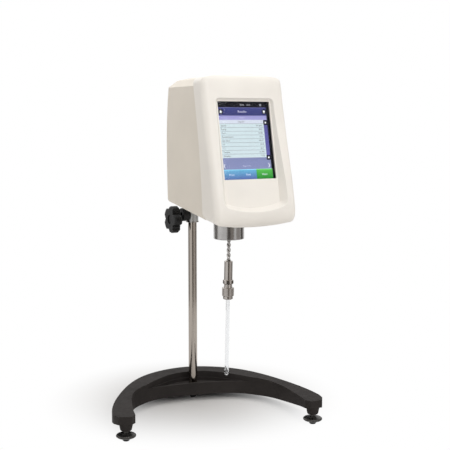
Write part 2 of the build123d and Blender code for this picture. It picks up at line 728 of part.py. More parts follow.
def ball_bearing(r_out, r_in, z0, z1):
    ring = axis_tube(r_out, r_in, z0, z1)
    groove = axis_turned([(r_in + 1.1, z1 - 0.6), (r_out - 1.1, z1 - 0.6), (r_out - 1.1, z1 + 1), (r_in + 1.1, z1 + 1)])
    return ring - groove


def drive_shaft():
    """Motor shaft with the coupling hub and the driven shaft below it."""
    body = axis_turned([(0, MOTOR_PLATE_Z + 20), (2.5, MOTOR_PLATE_Z + 20), (2.5, 374), (0, 374)])
    return body


def shaft_coupling():
    """Slit flexible coupling."""
    body = axis_tube(8.0, 2.5, 374, 384) + axis_tube(8.0, 3.0, 358, 374)
    for z, a in ((378, 0), (371, 90), (364, 0)):
        slit = box(-9, 5, -9, 9, z - 0.5, z + 0.5)
        body -= Pos(0, AXIS_Y, 0) * Rot(0, 0, a) * slit
    return body


def spring_cage():
    """Driven hub with the upper slotted disc and the posts that hold the torque spring."""
    body = axis_turned([(0, 374), (3.0, 374), (3.0, 350.4), (4.0, 350.4), (4.0, 341), (19.0, 341), (19.0, 339), (0, 339)])
    for i in range(3):
        a = radians(120 * i)
        body += cyl(1.4, 331, 339.5, 15.5 * cos(a), AXIS_Y + 15.5 * sin(a))
    body -= cyl(1.2, 338, 342, 0, AXIS_Y)
    for i in range(12):
        a = radians(30 * i + 15)
        body -= cyl(1.0, 330, 345, 17.0 * cos(a), AXIS_Y + 17.0 * sin(a))
    return body


def torque_spring():
    """Flat spiral spring joining cage and pivot shaft."""
    body = axis_tube(3.2, 1.4 + FIT, 332, 336)
    for r in (5.6, 8.2, 10.8, 13.4):
        body += axis_tube(r + 0.35, r - 0.35, 332.4, 335.6)
    body += box(3.0, 14.1, AXIS_Y - 0.35, AXIS_Y + 0.35, 332.4, 335.6)
    return body


def pivot_shaft():
    """Output shaft with its slotted disc; it hangs in a pivot below the cage."""
    body = axis_turned([(0, 338.6), (0.6, 337.6), (1.4, 336.6), (1.4, 329), (2.0, 329), (2.0, 256), (0, 256)])
    body += axis_tube(19.0, 1.9, 324, 325.4)
    body += axis_tube(4.5, 1.9, 321, 329)
    for i in range(12):
        a = radians(30 * i)
        body -= cyl(1.0, 320, 328, 17.0 * cos(a), AXIS_Y + 17.0 * sin(a))
    return body


def sensor_block():
    """Fork of light sensors that reads both discs; it stands on the chassis floor."""
    body = box(21.0, 27.5, AXIS_Y - 6, AXIS_Y + 6, DECK_Z + DECK_T, 346 - 2)
    for z0, z1 in ((319.5, 322.5), (326.7, 328.7), (342.0, 344.0)):
        body += box(14.5, 22, AXIS_Y - 4, AXIS_Y + 4, z0, z1)
    return body


def bearing_seat():
    """Boss that carries the lower bearing on the chassis floor."""
    z = DECK_Z + DECK_T
    body = axis_turned([(5.5, z - DECK_T), (8.0, z - DECK_T), (8.0, z), (13.0, z), (13.0, z + 2.5), (9.0, z + 4),
                        (9.0, z + 9), (5.5, z + 9)])
    return body


def pivot_cup():
    """Turned stainless guard around the pivot and coupling."""
    body = axis_turned([(CUP_R + 5.3, DECK_Z), (CUP_R + 5.3, DECK_Z - 2.5), (CUP_R, DECK_Z - 2.5), (CUP_R, CUP_LOW_Z + 0.7),
                        (CUP_R - 0.7, CUP_LOW_Z), (7.0, CUP_LOW_Z), (7.0, CUP_LOW_Z + 2), (CUP_R - 2, CUP_LOW_Z + 2),
                        (CUP_R - 2, DECK_Z)])
    return body


def spindle_coupling():
    """Coupling nut on the pivot shaft; the link screws into it from below."""
    body = Pos(0, AXIS_Y, 252.4) * extrude(RegularPolygon(5.4, 6), 12)
    body -= cyl(2.0, 255.9, 270, 0, AXIS_Y)
    return body - cyl(2.6, 250, 256, 0, AXIS_Y)


def leaned(shape):
    """Turn a shape about the link's upper end so that it hangs as photographed."""
    view = radians(-27.9)
    axis = Axis((0, AXIS_Y, LINK_TOP_Z), (-sin(view), cos(view), 0))
    return shape.rotate(axis, LEAN)


def link_shaft():
    """Two-strand twisted link between coupling and chuck."""
    strand = 1.35
    height = LINK_TOP_Z - CHUCK_TOP_Z + 2.0
    path = Helix(pitch=10.4, height=height, radius=1.3)
    parts = Part()
    for turn in (0, 180):
        start = Plane(origin=path @ 0, z_dir=path % 0)
        wire = sweep(start * Circle(strand), path, is_frenet=True)
        parts += Rot(0, 0, turn) * wire
    parts += Cylinder(0.9, height, align=(Align.CENTER, Align.CENTER, Align.MIN))
    parts = parts & box(-4, 4, -4, 4, 0, height)
    twist = leaned(Pos(0, AXIS_Y, CHUCK_TOP_Z - 2.0) * parts)
    stub = cyl(2.6, LINK_TOP_Z - 0.6, 255.9, 0, AXIS_Y)
    return twist + stub


def chuck_sleeve():
    """Polished sleeve, collar and threaded neck of the chuck, all one turning."""
    pts = [(2.9, CHUCK_TOP_Z - 2), (2.9, CHUCK_TOP_Z), (5.0, CHUCK_TOP_Z), (5.8, CHUCK_TOP_Z - 1.0), (5.8, COLLAR_TOP_Z),
           (6.6, COLLAR_TOP_Z), (7.3, COLLAR_TOP_Z - 0.8), (7.3, COLLAR_LOW_Z + 0.8), (6.6, COLLAR_LOW_Z),
           (5.5, COLLAR_LOW_Z), (5.5, NUT_TOP_Z - 8), (4.4, NUT_TOP_Z - 8), (4.4, 190), (STIRRER_R + 0.1, 194),
           (STIRRER_R + 0.1, 214), (0, 214), (0, CHUCK_TOP_Z - 2)]
    body = axis_turned(pts)
    for a in range(0, 360, 60):
        flat = Pos(7.0, 0, 0) * box(0, 4, -6, 6, COLLAR_LOW_Z - 0.1, COLLAR_TOP_Z + 0.1)
        body -= Pos(0, AXIS_Y, 0) * Rot(0, 0, a) * flat
    return body


def collet():
    """Slit collet that grips the stirrer."""
    bore = STIRRER_R + 0.03
    body = axis_turned([(bore, 190), (4.4, 190), (4.4, 176.5), (3.8, 173.4), (bore, 173.4)])
    for a in (0, 60, 120):
        body -= Pos(0, AXIS_Y, 0) * Rot(0, 0, a) * box(-6, 6, -0.3, 0.3, 170, 184)
    return body


def chuck_nut():
    """Knurled clamping nut with its plain nose."""
    z = NUT_LOW_Z
    body = axis_turned([(5.5 + FIT, NUT_TOP_Z), (7.5, NUT_TOP_Z), (8.2, NUT_TOP_Z - 0.8), (8.2, z + 0.8), (7.5, z), (6.8, z - 0.2),
                        (6.8, NOSE_LOW_Z + 0.8), (6.0, NOSE_LOW_Z), (STIRRER_R + 0.3, NOSE_LOW_Z), (STIRRER_R + 0.3, 173.0),
                        (3.9, 173.0), (4.3, 174.6), (5.5 + FIT, 174.6)])
    for i in range(24):
        a = 2 * pi * i / 24
        body -= cyl(0.5, z - 0.1, NUT_TOP_Z + 0.1, 8.45 * cos(a), AXIS_Y + 8.45 * sin(a))
    return body


def stirrer():
    """Clear glass stirring tube with a closed, slightly bulbed end."""
    z = STIRRER_LOW_Z
    r, w = STIRRER_R, 0.9
    arc_out = [(3.05 * sin(radians(a)), z + 3.05 - 3.05 * cos(radians(a))) for a in (0, 18, 36, 54, 72, 90)]
    arc_in = [((3.05 - w) * sin(radians(a)), z + 3.05 - (3.05 - w) * cos(radians(a))) for a in (90, 72, 54, 36, 18, 0)]
    pts = arc_out + [(3.05, z + 7), (r, z + 11), (r, 213.5), (r - w, 213.5), (r - w, z + 11), (3.05 - w, z + 7)] + arc_in
    return axis_turned(pts)


def build_drive():
    save("drive_pillars", swivel(pillars()))
    save("bearing_plate", swivel(plate_on_pillars(BEARING_PLATE_Z, BEARING_PLATE_Z + 4, 9.5, True)))
    save("motor_plate", swivel(plate_on_pillars(MOTOR_PLATE_Z, MOTOR_PLATE_Z + 4, 11.0, False)))
    save("motor", swivel(motor()))
    save("upper_bearing", swivel(ball_bearing(9.5, 4.0 + FIT, BEARING_PLATE_Z, BEARING_PLATE_Z + 6)))
    save("drive_shaft", swivel(drive_shaft()))
    save("shaft_coupling", swivel(shaft_coupling()))
    save("spring_cage", swivel(spring_cage()))
    save("torque_spring", swivel(torque_spring()))
    save("pivot_shaft", swivel(pivot_shaft()))
    save("sensor_block", swivel(sensor_block()))
    save("bearing_seat", swivel(bearing_seat()))
    save("lower_bearing", swivel(ball_bearing(5.5, 2.0 + FIT, DECK_Z + DECK_T + 4, DECK_Z + DECK_T + 9)))
    save("pivot_cup", swivel(pivot_cup()))
    save("spindle_coupling", swivel(spindle_coupling()))
    save("link_shaft", swivel(link_shaft()))
    save("chuck_sleeve", swivel(leaned(chuck_sleeve())))
    save("collet", swivel(leaned(collet())))
    save("chuck_nut", swivel(leaned(chuck_nut())))
    save("stirrer", swivel(leaned(stirrer())))


build_stand()
build_clamp()
build_shell()
build_display()
build_electronics()
build_drive()
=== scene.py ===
import json
from math import cos, pi, radians, sin

import bmesh
import bpy
from mathutils import Matrix, Vector


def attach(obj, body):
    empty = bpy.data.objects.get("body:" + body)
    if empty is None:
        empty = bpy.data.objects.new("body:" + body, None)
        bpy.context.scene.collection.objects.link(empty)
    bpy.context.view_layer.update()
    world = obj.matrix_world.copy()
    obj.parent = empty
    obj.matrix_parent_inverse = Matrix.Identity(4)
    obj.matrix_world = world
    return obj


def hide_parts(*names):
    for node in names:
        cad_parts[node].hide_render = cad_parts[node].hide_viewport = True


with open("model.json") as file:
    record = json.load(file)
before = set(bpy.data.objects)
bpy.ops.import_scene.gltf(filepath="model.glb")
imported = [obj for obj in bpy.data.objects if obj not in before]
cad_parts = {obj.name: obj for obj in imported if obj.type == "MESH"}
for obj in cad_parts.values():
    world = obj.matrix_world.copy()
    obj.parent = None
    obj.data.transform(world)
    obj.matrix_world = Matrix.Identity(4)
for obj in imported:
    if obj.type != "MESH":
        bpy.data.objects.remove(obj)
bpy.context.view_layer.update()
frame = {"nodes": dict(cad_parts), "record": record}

NODES = frame["nodes"]
MM = 0.001

HEAD_SWIVEL = radians(12.46)     # the head is turned this far about the upright rod
SCREEN_CENTRE = (0.0, -163.0, 383.1)
SCREEN_TILT = radians(11.7)
SCREEN_W, SCREEN_H = 76.2, 101.6
AXIS_Y = -113.0                  # drive axis ahead of the rod, in the head's own frame
LEAN = radians(0.98)             # the link, chuck and stirrer hang this far out of plumb
LEAN_FROM_Z = 247.5
LEAN_BEARING = radians(-27.9)    # side of the drive axis that the lean goes towards
SLEEVE_TOP_Z = 219.3             # top of the chuck's sleeve, where the link ends
LINK_SUNK = 0.7                  # the link runs on this far into the pieces at its ends
TWIST_PITCH = 14.0
NECK_THREAD_Z = 183.1
KNOB_Z = 266.7                   # the clamp knob's axis
BOSS_Z = 272.7                   # the clamp boss, a little above it
FEET = (("rear", 0, 0), ("left", -127.4, -163.6), ("right", 127.4, -163.6))
STUD_THREAD_Z = 10.6
PORT_X = 28.0                    # middle of both sockets on the back, in the head's own frame
CONTACTS_Y = -51.0


def in_head(x, y, z):
    """Millimetres in the head's own frame to metres in the row's frame."""
    c, s = cos(HEAD_SWIVEL), sin(HEAD_SWIVEL)
    return Vector((x * c - y * s, x * s + y * c, z)) * MM


def on_screen(u, v, depth):
    """A point of the display: u to the right, v up, depth behind the floor of the recess."""
    up = Vector((0, sin(SCREEN_TILT), cos(SCREEN_TILT)))
    out = Vector((0, -cos(SCREEN_TILT), sin(SCREEN_TILT)))
    return in_head(*(Vector(SCREEN_CENTRE) + Vector((u, 0, 0)) + up * v - out * depth))


def drive_frame(z):
    """Matrix that stands a piece on the drive axis at height z, leaning as the chuck does."""
    tilt = Matrix.Rotation(LEAN, 4, Vector((-sin(LEAN_BEARING), cos(LEAN_BEARING), 0)))
    hinge = Matrix.Translation(Vector((0, AXIS_Y, LEAN_FROM_Z)) * MM)
    lift = Matrix.Translation(Vector((0, AXIS_Y, z)) * MM)
    lean = hinge @ tilt @ hinge.inverted() @ lift if z < LEAN_FROM_Z else lift
    return Matrix.Rotation(HEAD_SWIVEL, 4, "Z") @ lean


def linear(*screen):
    """Screen colour from 0 to 255 to the linear colour that Blender's sockets take."""
    shares = [c / 255 for c in screen]
    return tuple(((s + 0.055) / 1.055) ** 2.4 if s > 0.04045 else s / 12.92 for s in shares) + (1.0,)


class Wire:
    """One output of a node, which takes part in ordinary arithmetic."""

    def __init__(self, recipe, socket):
        self.recipe, self.socket = recipe, socket

    def maths(self, operation, *terms):
        return self.recipe.node("ShaderNodeMath", {"operation": operation}, dict(enumerate(terms)))

    def __add__(self, other):
        return self.maths("ADD", self, other)

    def __mul__(self, other):
        return self.maths("MULTIPLY", self, other)

    __radd__, __rmul__ = __add__, __mul__


class Recipe:
    """A node tree that is filled one node at a time."""

    def __init__(self, tree):
        self.tree = tree

    def node(self, kind, settings, sockets, out=0):
        node = self.tree.nodes.new(kind)
        for name, value in settings.items():
            setattr(node, name, value)
        for name, value in sockets.items():
            self.feed(node.inputs[name], value)
        return Wire(self, node.outputs[out]) if node.outputs else None

    def feed(self, socket, value):
        if isinstance(value, Wire):
            self.tree.links.new(value.socket, socket)
        else:
            socket.default_value = value


class Finish(Recipe):
    """A material on the principled shader; fixed values go straight on the shader's own sockets."""

    def __init__(self, name, **fixed):
        self.material = bpy.data.materials.new(name)
        self.material.use_nodes = True
        super().__init__(self.material.node_tree)
        self.shader = next(n for n in self.tree.nodes if n.type == "BSDF_PRINCIPLED")
        for socket, value in fixed.items():
            self.shader.inputs[socket.replace("_", " ")].default_value = value

    def place(self, stretch=(1, 1, 1), turn=(0, 0, 0)):
        """Object coordinates, stretched so that a pattern can run in streaks or rings."""
        here = self.node("ShaderNodeTexCoord", {}, {}, "Object")
        return self.node("ShaderNodeMapping", {}, {"Vector": here, "Scale": stretch, "Rotation": turn})

    def noise(self, size_mm, stretch=(1, 1, 1), detail=3.0, rough=0.55):
        """Soft random pattern from 0 to 1 whose features are about size_mm across."""
        return self.node("ShaderNodeTexNoise", {}, {"Vector": self.place(stretch), "Scale": 1000 / size_mm,
                                                    "Detail": detail, "Roughness": rough})

    def cells(self, size_mm):
        return self.node("ShaderNodeTexVoronoi", {}, {"Vector": self.place(), "Scale": 1000 / size_mm})

    def shade(self, mask, dark, light):
        """Colour between dark and light by a mask."""
        return self.node("ShaderNodeMix", {"data_type": "RGBA"}, {"Factor": mask, 6: dark, 7: light}, 2)

    def spread(self, mask, low, high):
        """A mask brought from its own middle range to low..high."""
        return self.node("ShaderNodeMapRange", {}, {"Value": mask, "From Min": 0.3, "From Max": 0.7,
                                                    "To Min": low, "To Max": high})

    def colour(self, wire):
        self.feed(self.shader.inputs["Base Color"], wire)

    def rough(self, wire):
        self.feed(self.shader.inputs["Roughness"], wire)

    def relief(self, height, depth_mm, strength=1.0, below=None):
        """Relief that bends the light; several are laid one on another through below."""
        sockets = {"Height": height, "Distance": depth_mm * MM, "Strength": strength}
        if below:
            sockets["Normal"] = below
        bump = self.node("ShaderNodeBump", {}, sockets)
        self.feed(self.shader.inputs["Normal"], bump)
        return bump


def tint(colour, factor):
    return tuple(min(1.0, c * factor) for c in colour[:3]) + (1.0,)


def moulded(name, colour, roughness, grain_mm, depth_mm, cloud=0.03, shine=0.45):
    """Injection-moulded plastic: fine spark texture, faint clouding, a little unevenness in its gloss."""
    f = Finish(name, Metallic=0.0, Specular_IOR_Level=shine)
    drift = f.noise(60, detail=2)
    f.colour(f.shade(f.spread(drift, 0, 1), tint(colour, 1 - cloud), tint(colour, 1 + cloud)))
    f.rough(f.spread(f.noise(7), roughness - 0.05, roughness + 0.05))
    f.relief(f.cells(grain_mm) + 0.5 * f.noise(grain_mm * 0.6), depth_mm)
    return f.material


def ground_metal(name, colour, roughness, streak, contrast=0.12, line_mm=0.25, depth_mm=0.002):
    """Drawn, ground or turned metal; streak stretches the tool marks along one direction."""
    f = Finish(name, Metallic=1.0)
    marks = f.noise(line_mm, streak, detail=4, rough=0.6)
    bands = f.noise(line_mm * 14, streak, detail=2)
    worn = f.spread(0.45 * marks + 0.55 * bands, 0, 1)
    f.colour(f.shade(worn, tint(colour, 1 - contrast), tint(colour, 1 + contrast)))
    f.rough(f.spread(marks, roughness - 0.04, roughness + 0.06) + 0.05 * f.noise(9))
    f.relief(marks, depth_mm)
    return f.material


ALONG_Z = (1, 1, 0.02)           # tool marks drawn out along the axis
AROUND_Z = (0.04, 0.04, 1)       # tool marks that run round it
EVEN = (1, 1, 1)                 # blasted or plated, with no direction


def casting_paint():
    """Satin black powder paint over sand-cast metal, with a little dust in its pores."""
    f = Finish("satin_black_casting", Metallic=0.0, Specular_IOR_Level=0.03)
    dust = f.noise(35, detail=4)
    f.colour(f.shade(f.spread(dust, 0, 1), (0.0290, 0.0258, 0.0245, 1), (0.0380, 0.0336, 0.0317, 1)))
    f.rough(f.spread(f.noise(6), 0.48, 0.60))
    skin = f.relief(f.noise(9, detail=1), 0.10)
    f.relief(f.cells(1.1) + f.noise(0.7), 0.035, below=skin)
    return f.material


def blackened_steel():
    f = Finish("blackened_steel", Metallic=0.85)
    marks = f.noise(0.3, AROUND_Z, detail=4)
    worn = f.spread(f.noise(4) * 0.5 + marks * 0.5, 0, 1)
    f.colour(f.shade(worn, (0.030, 0.029, 0.028, 1), (0.085, 0.08, 0.075, 1)))
    f.rough(f.spread(marks, 0.28, 0.42))
    f.relief(marks, 0.004)
    return f.material


def rubber():
    f = Finish("black_rubber", Metallic=0.0, Specular_IOR_Level=0.35)
    f.colour(f.shade(f.spread(f.noise(5), 0, 1), (0.014, 0.014, 0.014, 1), (0.03, 0.03, 0.03, 1)))
    f.rough(f.spread(f.noise(1.2), 0.62, 0.78))
    f.relief(f.noise(0.5), 0.03)
    return f.material


def clear_glass(name, tone, index):
    """Clear drawn glass with the faintest waviness; a coated cover glass has a low index."""
    f = Finish(name, Transmission_Weight=1.0, IOR=index, Metallic=0.0)
    f.colour(f.shade(f.spread(f.noise(20, ALONG_Z), 0, 1), tint(tone, 0.98), tone))
    f.rough(f.spread(f.noise(6), 0.0, 0.01))
    f.relief(f.noise(12, ALONG_Z, detail=1), 0.01)
    return f.material


def circuit_board():
    f = Finish("green_circuit_board", Metallic=0.0)
    tracks = f.node("ShaderNodeTexBrick", {"offset": 0.35}, {"Vector": f.place((1, 1, 1), (pi / 2, 0, 0)),
                                                            "Scale": 160.0, "Mortar Size": 0.012}, "Fac")
    f.colour(f.shade(tracks, (0.010, 0.085, 0.035, 1), (0.05, 0.22, 0.10, 1)))
    f.rough(f.spread(f.noise(3), 0.3, 0.45))
    f.relief(tracks, 0.03)
    return f.material


def spangled_sheet():
    """Zinc-plated sheet with its faint spangle."""
    f = Finish("zinc_sheet", Metallic=1.0)
    spangle = f.node("ShaderNodeTexVoronoi", {}, {"Vector": f.place(), "Scale": 140.0}, "Color")
    f.colour(f.shade(spangle, (0.50, 0.51, 0.53, 1), (0.68, 0.69, 0.70, 1)))
    f.rough(f.spread(f.noise(4), 0.32, 0.46))
    f.relief(f.noise(2), 0.01)
    return f.material


def lit_picture():
    """Backlit picture: its inks are stored on the mesh, with a faint pixel raster over them."""
    f = Finish("lit_picture", Metallic=0.0, Specular_IOR_Level=0.04, Emission_Strength=0.95)
    ink = f.node("ShaderNodeAttribute", {"attribute_name": "ink"}, {}, "Color")
    sheet = f.node("ShaderNodeUVMap", {"uv_map": "screen"}, {})
    raster = f.node("ShaderNodeTexBrick", {"offset": 0.0}, {"Vector": sheet, "Scale": 320.0, "Mortar Size": 0.05,
                                                            "Brick Width": 1.0, "Row Height": 1.0}, "Fac")
    lit = f.shade(raster * 0.35, ink, (0.0, 0.0, 0.0, 1))
    f.colour(f.shade(0.75 + raster * 0.1, ink, (0.01, 0.01, 0.012, 1)))
    f.feed(f.shader.inputs["Emission Color"], lit)
    f.rough(f.spread(f.noise(2), 0.25, 0.32))
    return f.material


CREAM = linear(243, 238, 230)
# the housing's cream made darker for the rear cover: painted shade for its side turned away from the lamps
CREAM_WITH_PAINTED_SHADE = linear(230, 222, 209)

FINISHES = {
    "black_casting": casting_paint(),
    "rod_steel": ground_metal("ground_stainless_rod", (0.37, 0.33, 0.29, 1), 0.10, ALONG_Z, 0.16),
    "steel": ground_metal("bright_steel", (0.40, 0.385, 0.37, 1), 0.18, AROUND_Z, 0.10),
    "foot_steel": blackened_steel(),
    "foot_rubber": rubber(),
    "clamp_metal": ground_metal("blasted_clamp_metal", (0.47, 0.47, 0.46, 1), 0.36, EVEN, 0.10, 0.6, 0.02),
    "black_plastic": moulded("black_moulding", (0.011, 0.011, 0.0112, 1), 0.44, 0.7, 0.03, 0.2, 0.22),
    "brass": ground_metal("plain_brass", (0.70, 0.50, 0.24, 1), 0.28, AROUND_Z, 0.10),
    "housing": moulded("cream_moulding", CREAM, 0.42, 0.55, 0.012),
    "cover": moulded("cream_moulding_with_painted_shade", CREAM_WITH_PAINTED_SHADE, 0.50, 0.60, 0.016),
    "screen_glass": clear_glass("touch_glass", (0.98, 0.98, 0.98, 1), 1.1),
    "lcd": moulded("black_display_edge", (0.012, 0.012, 0.014, 1), 0.30, 0.5, 0.01, 0.1),
    "sheet_metal": spangled_sheet(),
    "circuit": circuit_board(),
    "port_metal": ground_metal("plated_socket_shell", (0.70, 0.70, 0.70, 1), 0.22, EVEN, 0.06),
    "aluminium": ground_metal("turned_aluminium", (0.78, 0.78, 0.79, 1), 0.30, AROUND_Z, 0.08),
    "motor_black": moulded("black_motor_case", (0.02, 0.02, 0.022, 1), 0.4, 0.9, 0.03, 0.2),
    "spring_alloy": ground_metal("copper_alloy_strip", (0.76, 0.48, 0.28, 1), 0.26, AROUND_Z, 0.08),
    "cup_steel": ground_metal("turned_stainless_cup", (0.38, 0.37, 0.36, 1), 0.17, AROUND_Z, 0.07, 0.5,
                              0.001),
    "chuck_steel": ground_metal("polished_chuck_steel", (0.42, 0.39, 0.365, 1), 0.08, AROUND_Z, 0.08, 0.25,
                                0.0008),
    "stirrer_glass": clear_glass("stirrer_glass", (0.93, 0.935, 0.94, 1), 1.47),
}


def dress_cad_nodes():
    for part in frame["record"]["subparts"]:
        node, finish = NODES[part["node"]], FINISHES[part["material_slot"]]
        if not node.material_slots:
            node.data.materials.append(finish)
        for slot in node.material_slots:
            slot.material = finish


def add_object(name, data):
    made = bpy.data.objects.new(name, data)
    bpy.context.scene.collection.objects.link(made)
    return made


def evaluated_mesh(maker):
    """The plain mesh that an object's modifiers or lettering give; the object itself goes."""
    bpy.context.view_layer.update()
    mesh = bpy.data.meshes.new_from_object(maker.evaluated_get(bpy.context.evaluated_depsgraph_get()))
    bpy.data.objects.remove(maker)
    return mesh


def add_piece(name, mesh, body, slot, finish=None):
    """A finished piece on its body; its material is the slot's own unless another is given."""
    piece = add_object(name, mesh)
    if not mesh.materials:
        mesh.materials.append(finish or FINISHES[slot])
    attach(piece, body)
    return piece


def smooth_by_angle(mesh, degrees):
    """Smooth shading, kept sharp where faces meet at more than the angle."""
    mesh.polygons.foreach_set("use_smooth", [True] * len(mesh.polygons))
    bm = bmesh.new()
    bm.from_mesh(mesh)
    for edge in bm.edges:
        edge.smooth = len(edge.link_faces) == 2 and edge.calc_face_angle(0) < radians(degrees)
    bm.to_mesh(mesh)
    bm.free()


def as_mesh(bm, name, place=None):
    """The bmesh as a mesh, set at its place."""
    mesh = bpy.data.meshes.new(name)
    bm.to_mesh(mesh)
    bm.free()
    if place:
        mesh.transform(place)
    return mesh


def merged_copy(node, flat_degrees=0.0):
    """A copy of a CAD skin with its loose triangles joined, and its flat faces made whole if asked."""
    bm = bmesh.new()
    bm.from_mesh(NODES[node].data)
    bmesh.ops.remove_doubles(bm, verts=bm.verts, dist=1e-6)
    if flat_degrees:
        bmesh.ops.dissolve_limit(bm, angle_limit=radians(flat_degrees), verts=bm.verts, edges=bm.edges)
    return as_mesh(bm, node)


def softened(node, name, body, slot, width_mm):
    """The CAD skin with its facets shaded smooth and its arrises eased."""
    mesh = merged_copy(node, 0.2)
    piece = add_piece(name, mesh, body, slot)
    smooth_by_angle(mesh, 28)
    edge = piece.modifiers.new("eased_edges", "BEVEL")
    edge.width, edge.segments, edge.limit_method = width_mm * MM, 2, "ANGLE"
    edge.angle_limit = radians(28)
    edge.use_clamp_overlap = edge.harden_normals = True
    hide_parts(node)


def circle(r, sides):
    return [(r * cos(2 * pi * i / sides), r * sin(2 * pi * i / sides)) for i in range(sides)]


def join_rings(bm, rings):
    """A band of faces between each ring of points and the next."""
    n = len(rings[0])
    for a, b in zip(rings, rings[1:]):
        for i in range(n):
            bm.faces.new((a[i], a[(i + 1) % n], b[(i + 1) % n], b[i]))


def lathe(points, sides=48):
    """Closed mesh turned about Z from (radius, height) points in millimetres, last joined to first."""
    bm = bmesh.new()
    rings = [[bm.verts.new((x * MM, y * MM, z * MM)) for x, y in circle(r, sides)] for r, z in points]
    join_rings(bm, rings + rings[:1])
    bmesh.ops.recalc_face_normals(bm, faces=bm.faces)
    return bm


def clamp_body():
    """The clamp turned down to a slim barrel where it shows below the head."""
    body = add_object("clamp_body", merged_copy("clamp_block"))
    waste = lathe([(8.8, 255), (60, 255), (60, 296), (12.6, 296), (8.8, 292)], 64)
    cutter = add_object("waste", as_mesh(waste, "waste"))
    cut = body.modifiers.new("cut", "BOOLEAN")
    cut.operation, cut.solver, cut.object = "DIFFERENCE", "EXACT", cutter
    mesh = evaluated_mesh(body)
    bpy.data.objects.remove(cutter)
    mesh.materials.clear()
    piece = add_piece("clamp_body", mesh, "clamp", "clamp_metal")
    smooth_by_angle(mesh, 30)
    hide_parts("clamp_block")


def clamp_boss():
    """Black threaded boss for the knob's stud, above the knob's own axis."""
    across = Matrix.Rotation(HEAD_SWIVEL, 4, "Z") @ Matrix.Translation((0, 0, BOSS_Z * MM))
    turned = lathe([(3.4, 7.0), (9.1, 7.0), (9.5, 7.4), (9.5, 17.5), (9.1, 17.9), (3.4, 17.9)])
    mesh = as_mesh(turned, "clamp_boss", across @ Matrix.Rotation(-pi / 2, 4, "Y"))
    add_piece("clamp_boss", mesh, "clamp", "black_plastic")
    smooth_by_angle(mesh, 35)


def clamp_knob():
    """The knob as it stands in the photograph, half a turn on."""
    axis = Matrix.Rotation(HEAD_SWIVEL, 4, "Z") @ Matrix.Translation((0, 0, KNOB_Z * MM))
    mesh = merged_copy("clamp_knob")
    mesh.transform(axis @ Matrix.Rotation(pi, 4, "X") @ axis.inverted())
    knob = add_piece("turned_knob", mesh, "knob", "black_plastic")
    smooth_by_angle(mesh, 35)
    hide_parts("clamp_knob")


def rounded_corners(half_w, half_h, radius, steps, inset=0.0):
    """Points round a rectangle whose corners turn in so many steps, drawn in by the inset."""
    points = []
    for side, rise, start in ((1, -1, 270), (1, 1, 0), (-1, 1, 90), (-1, -1, 180)):
        for step in range(steps + 1):
            a = radians(start + 90 / steps * step)
            points.append((side * (half_w - radius) + (radius - inset) * cos(a),
                           rise * (half_h - radius) + (radius - inset) * sin(a)))
    return points


class Picture:
    """Flat coloured shapes on the display, each layer a hair in front of the one before."""

    BACK = 4.12                  # just in front of the panel, which starts 4.2 behind the recess floor
    LAYER = 0.02

    def __init__(self):
        self.bm = bmesh.new()
        self.ink = self.bm.loops.layers.float_color.new("ink")
        self.uv = self.bm.loops.layers.uv.new("screen")

    def add(self, outline, colour, layer, low=None):
        """A face from (u, v) points; with low its colour runs from low at the bottom to colour at the top."""
        depth = self.BACK - self.LAYER * layer
        face = self.bm.faces.new([self.bm.verts.new(on_screen(u, v, depth)) for u, v in outline])
        tall = [v for _, v in outline]
        bottom, span = min(tall), max(max(tall) - min(tall), 1e-6)
        for loop, (u, v) in zip(face.loops, outline):
            mix = (v - bottom) / span if low else 1.0
            loop[self.ink] = [a + (b - a) * mix for a, b in zip(low or colour, colour)]
            loop[self.uv].uv = (u / SCREEN_H + 0.5, v / SCREEN_H + 0.5)

    def bar(self, u0, u1, v0, v1, colour, layer, low=None):
        self.add([(u0, v0), (u1, v0), (u1, v1), (u0, v1)], colour, layer, low)

    def disc(self, u, v, r, colour, layer, sides=28):
        self.add([(u + across, v + up) for across, up in circle(r, sides)], colour, layer)

    def tile(self, u, v, w, h, r, colour, layer, low=None):
        """Rectangle with rounded corners, centred at (u, v)."""
        corners = rounded_corners(w / 2, h / 2, r, 4)
        self.add([(u + across, v + up) for across, up in corners], colour, layer, low)

    def words(self, text, u, v, height, colour, layer, align="LEFT"):
        """A line of print whose capitals are height tall."""
        curve = bpy.data.curves.new("print", "FONT")
        curve.body, curve.size, curve.align_x, curve.align_y = text, height * 1.4, align, "CENTER"
        curve.resolution_u = 2
        flat = evaluated_mesh(add_object("print", curve))
        for polygon in flat.polygons:
            corners = [flat.vertices[i].co for i in polygon.vertices]
            self.add([(u + c.x, v + c.y) for c in corners], colour, layer)
        bpy.data.curves.remove(curve)
        bpy.data.meshes.remove(flat)

    def finish(self, name):
        add_piece(name, as_mesh(self.bm, name), "head", "lcd", lit_picture())


ROWS = (("Speed", "20 rpm"), ("Range", "85%"), ("Time", "12:40"), ("Temperature", "25.0"),
        ("Gel time", "08:15"), ("T1", "24.8"), ("T2", "25.1"), ("Torque", "61.4%"), ("Samples", "1/12"))


